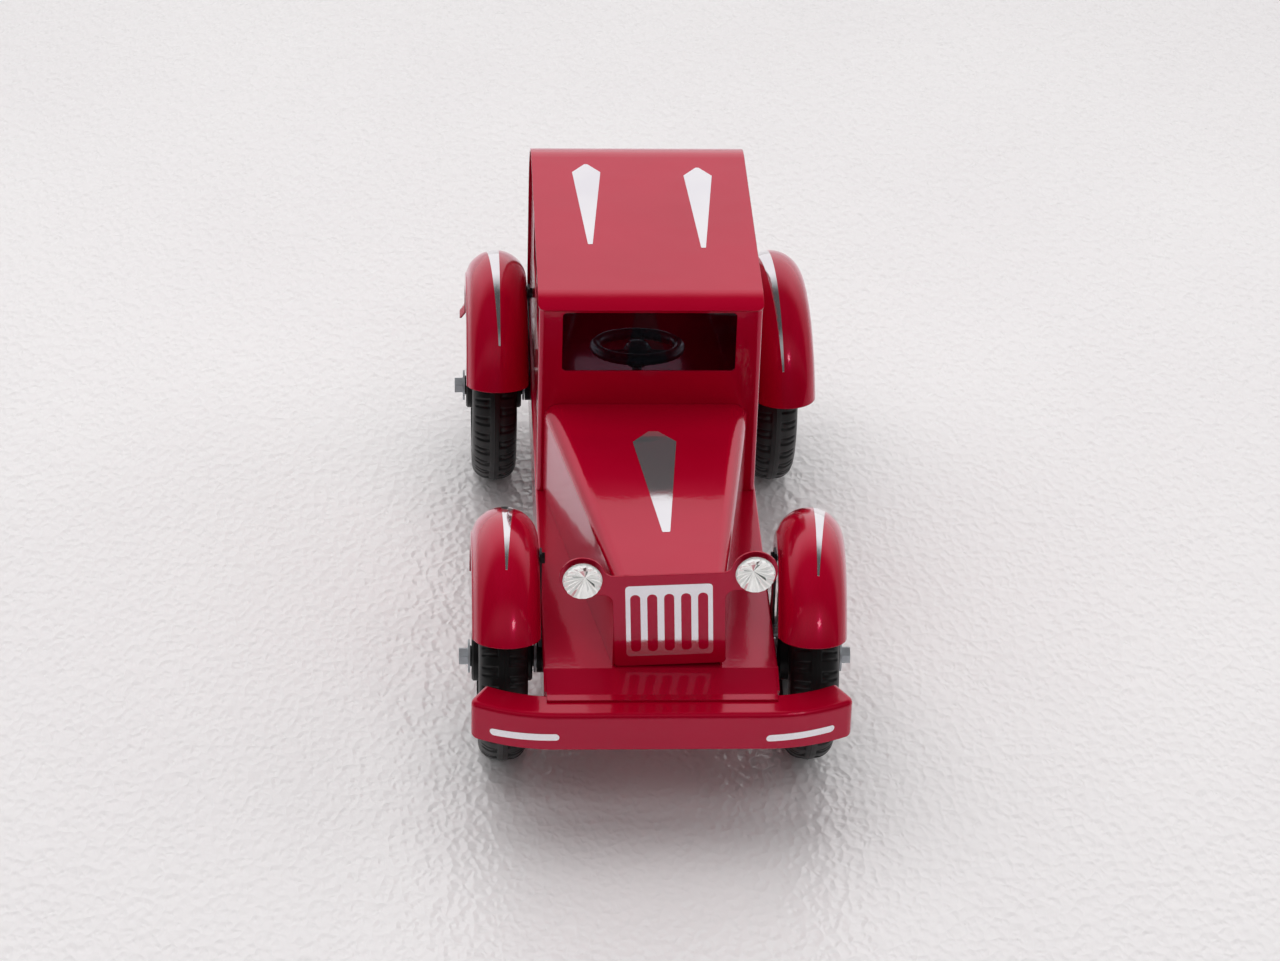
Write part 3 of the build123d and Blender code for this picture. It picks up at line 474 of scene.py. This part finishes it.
hinge = next(j for j in frame["record"]["behaviour"]["joints"] if j["name"] == "steering_turn")
ax = Vector(hinge["axis"]).normalized()
o = bpy.data.objects.new("steering_rim_and_hub", steering_mesh("steering_shape", 24.5, 3.0))
o.data.materials.append(STEER)
bpy.context.scene.collection.objects.link(o)
xd = Vector((1, 0, 0))
yd = ax.cross(xd).normalized()
m = Matrix((xd, yd, ax)).transposed().to_4x4()
m.translation = Vector(hinge["pos_m"])
o.matrix_world = m
bpy.context.view_layer.update()
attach(o, "steering")
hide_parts("steering_wheel")

# ------------------------------------------------------------------ bumper strips
# The bumper's face is upright, so a shear in z keeps each strip on it while its outer end rises.
src = nodes["bumper_stickers"]
me = src.data.copy()
me.name = "strips"
pts = [src.matrix_world @ v.co for v in me.vertices]
for s_ in (-1, 1):
    xs = [q.x for q in pts if q.x * s_ > 0]
    mid = (min(xs) + max(xs)) / 2
    lean = 0.093 if s_ < 0 else 0.163
    for q in pts:
        if q.x * s_ > 0:
            q.z += lean * (abs(q.x) - abs(mid))
for v, q in zip(me.vertices, pts):
    v.co = q
me.update()
o = bpy.data.objects.new("bumper_strips", me)
bpy.context.scene.collection.objects.link(o)
bpy.context.view_layer.update()
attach(o, "body")
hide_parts("bumper_stickers")

# ------------------------------------------------------------------ floor, light, camera
m, nt, out = new_mat("embossed_sheet")
co = objco(nt)
mp = nt.nodes.new("ShaderNodeMapping")
mp.inputs["Scale"].default_value = (1.0, 0.72, 1.0)
nt.links.new(co, mp.inputs["Vector"])
p = nt.nodes.new("ShaderNodeBsdfPrincipled")
nt.links.new(ramp(nt, noise(nt, mp.outputs[0], 5, 3), [(0.3, (0.895, 0.872, 0.882, 1)), (0.7, (0.93, 0.912, 0.918, 1))]), p.inputs["Base Color"])
put(p, Roughness=0.30)
warp = nt.nodes.new("ShaderNodeTexNoise")
put(warp, Scale=150, Detail=1.5)
nt.links.new(mp.outputs[0], warp.inputs["Vector"])
amt = nt.nodes.new("ShaderNodeVectorMath")
amt.operation = "MULTIPLY_ADD"
nt.links.new(warp.outputs["Color"], amt.inputs[0])
amt.inputs[1].default_value = (0.0045, 0.0045, 0)
nt.links.new(mp.outputs[0], amt.inputs[2])
vor = nt.nodes.new("ShaderNodeTexVoronoi")
vor.feature = "SMOOTH_F1"
put(vor, Scale=250, Smoothness=0.45)
nt.links.new(amt.outputs[0], vor.inputs["Vector"])
cells = bump(nt, vor.outputs["Distance"], 0.0015, 0.60)
put(p, Coat_Weight=0.7, Coat_Roughness=0.10)
nt.links.new(cells, p.inputs["Normal"])
nt.links.new(cells, p.inputs["Coat Normal"])
nt.links.new(p.outputs[0], out.inputs[0])
me = bpy.data.meshes.new("sheet")
X, cols, rows_ = 3.2, 2, []
path = [(-3.2, 0.0), (4.2, 0.0)]
vs = [(sx * X, y, z) for y, z in path for sx in (-1, 1)]
fs = [(2 * i, 2 * i + 1, 2 * i + 3, 2 * i + 2) for i in range(len(path) - 1)]
me.from_pydata(vs, [], fs)
me.materials.append(m)
floor = bpy.data.objects.new("floor_sheet", me)
bpy.context.scene.collection.objects.link(floor)
for f in me.polygons:
    f.use_smooth = True


def area(name, loc, target, size, power, color=(1, 1, 1)):
    l = bpy.data.lights.new(name, "AREA")
    l.shape = "RECTANGLE"
    l.size, l.size_y = size
    l.energy = power
    l.color = color
    o = bpy.data.objects.new(name, l)
    bpy.context.scene.collection.objects.link(o)
    o.location = loc
    o.rotation_euler = (Vector(target) - Vector(loc)).to_track_quat("-Z", "Y").to_euler()
    return o


# the paint mirrors only the room; these light it
for args in (("softbox_top", (-0.25, 0.45, 1.9), (0, 0.02, 0), (1.9, 1.7), 22.0, (1.0, 0.99, 0.985)),
             ("fill_front", (0.1, -2.0, 1.5), (0, 0, 0.05), (2.4, 1.6), 13.0, (1.0, 0.985, 0.99)),
             ("fill_left", (-2.0, 0.2, 1.3), (0, 0, 0.05), (1.8, 1.8), 8.0, (1.0, 0.985, 0.99)),
             ("fill_right", (2.0, 0.3, 1.3), (0, 0, 0.05), (1.8, 1.8), 13.0, (1.0, 0.985, 0.99))):
    area(*args).visible_glossy = False
# a small window high on the right, seen as a soft spot on each curved panel
area("window_spot", (0.75, -1.25, 1.9), (0, 0, 0.1), (0.30, 0.22), 1.6, (1.0, 0.99, 1.0))

w = bpy.data.worlds.new("studio")
bpy.context.scene.world = w
w.use_nodes = True
nt = w.node_tree
nt.nodes.clear()
out = nt.nodes.new("ShaderNodeOutputWorld")
bg = nt.nodes.new("ShaderNodeBackground")
tc = nt.nodes.new("ShaderNodeTexCoord")
sep = nt.nodes.new("ShaderNodeSeparateXYZ")
nt.links.new(tc.outputs["Generated"], sep.inputs[0])
# white low behind the car, dark overhead and in front of it, dimmer to both sides
ang = nt.nodes.new("ShaderNodeMath")
ang.operation = "ARCTAN2"
nt.links.new(sep.outputs["Z"], ang.inputs[0])
nt.links.new(sep.outputs["Y"], ang.inputs[1])
mr = nt.nodes.new("ShaderNodeMapRange")
mr.interpolation_type = "SMOOTHSTEP"
put(mr, From_Min=math.radians(37), From_Max=math.radians(66), To_Min=0.92, To_Max=0.03)
nt.links.new(ang.outputs[0], mr.inputs["Value"])
ab = nt.nodes.new("ShaderNodeMath")
ab.operation = "ABSOLUTE"
nt.links.new(sep.outputs["X"], ab.inputs[0])
side = nt.nodes.new("ShaderNodeMapRange")
side.interpolation_type = "SMOOTHSTEP"
put(side, From_Min=0.45, From_Max=0.90, To_Min=1.0, To_Max=0.40)
nt.links.new(ab.outputs[0], side.inputs["Value"])
rise = nt.nodes.new("ShaderNodeMapRange")
rise.interpolation_type = "SMOOTHSTEP"
put(rise, From_Min=math.radians(98), From_Max=math.radians(118), To_Min=0.0, To_Max=0.26)
nt.links.new(ang.outputs[0], rise.inputs["Value"])
fall = nt.nodes.new("ShaderNodeMapRange")
fall.interpolation_type = "SMOOTHSTEP"
put(fall, From_Min=math.radians(120), From_Max=math.radians(140), To_Min=1.0, To_Max=0.0)
nt.links.new(ang.outputs[0], fall.inputs["Value"])
room = nt.nodes.new("ShaderNodeMath")
room.operation = "MULTIPLY_ADD"
nt.links.new(rise.outputs[0], room.inputs[0])
nt.links.new(fall.outputs[0], room.inputs[1])
nt.links.new(mr.outputs[0], room.inputs[2])
mul = nt.nodes.new("ShaderNodeMath")
mul.operation = "MULTIPLY"
nt.links.new(room.outputs[0], mul.inputs[0])
nt.links.new(side.outputs[0], mul.inputs[1])
nt.links.new(mul.outputs[0], bg.inputs["Strength"])
bg.inputs["Color"].default_value = (1.0, 0.985, 0.985, 1)
nt.links.new(bg.outputs[0], out.inputs[0])

sc = bpy.context.scene
sc.view_settings.view_transform = "Standard"
sc.view_settings.look = "None"
sc.view_settings.exposure = 0.0

# camera: elevation 32 degrees, fitted in mm from the front axle
TH, YAW, ROLL, F_PX = 0.5584188, 0.06188315, 0.03173998, 4224.846
OX, OY, Z0 = 10.03233, -86.69407, 2101.8056
h = Vector((math.sin(YAW), math.cos(YAW), 0))
r = Vector((math.cos(YAW), -math.sin(YAW), 0))
z = Vector((0, 0, 1))
up = math.sin(TH) * h + math.cos(TH) * z
fwd = math.cos(TH) * h - math.sin(TH) * z
pos = Vector((0, 0, 52.0)) - OX * r - OY * up - Z0 * fwd
front_axle = frame["record"]["behaviour"]["joints"][0]["pos_m"]
pos = pos * MM + Vector((0, front_axle[1], 0))
rc = math.cos(ROLL) * r + math.sin(ROLL) * up
uc = -math.sin(ROLL) * r + math.cos(ROLL) * up
cm = Matrix((rc, uc, -fwd)).transposed().to_4x4()
cm.translation = pos
cam = bpy.data.cameras.new("camera")
cam.sensor_fit = "HORIZONTAL"
cam.sensor_width = 36.0
cam.lens = F_PX * 36.0 / 1280.0
cam.clip_start, cam.clip_end = 0.05, 30
co_ = bpy.data.objects.new("camera", cam)
sc.collection.objects.link(co_)
co_.matrix_world = cm
sc.camera = co_
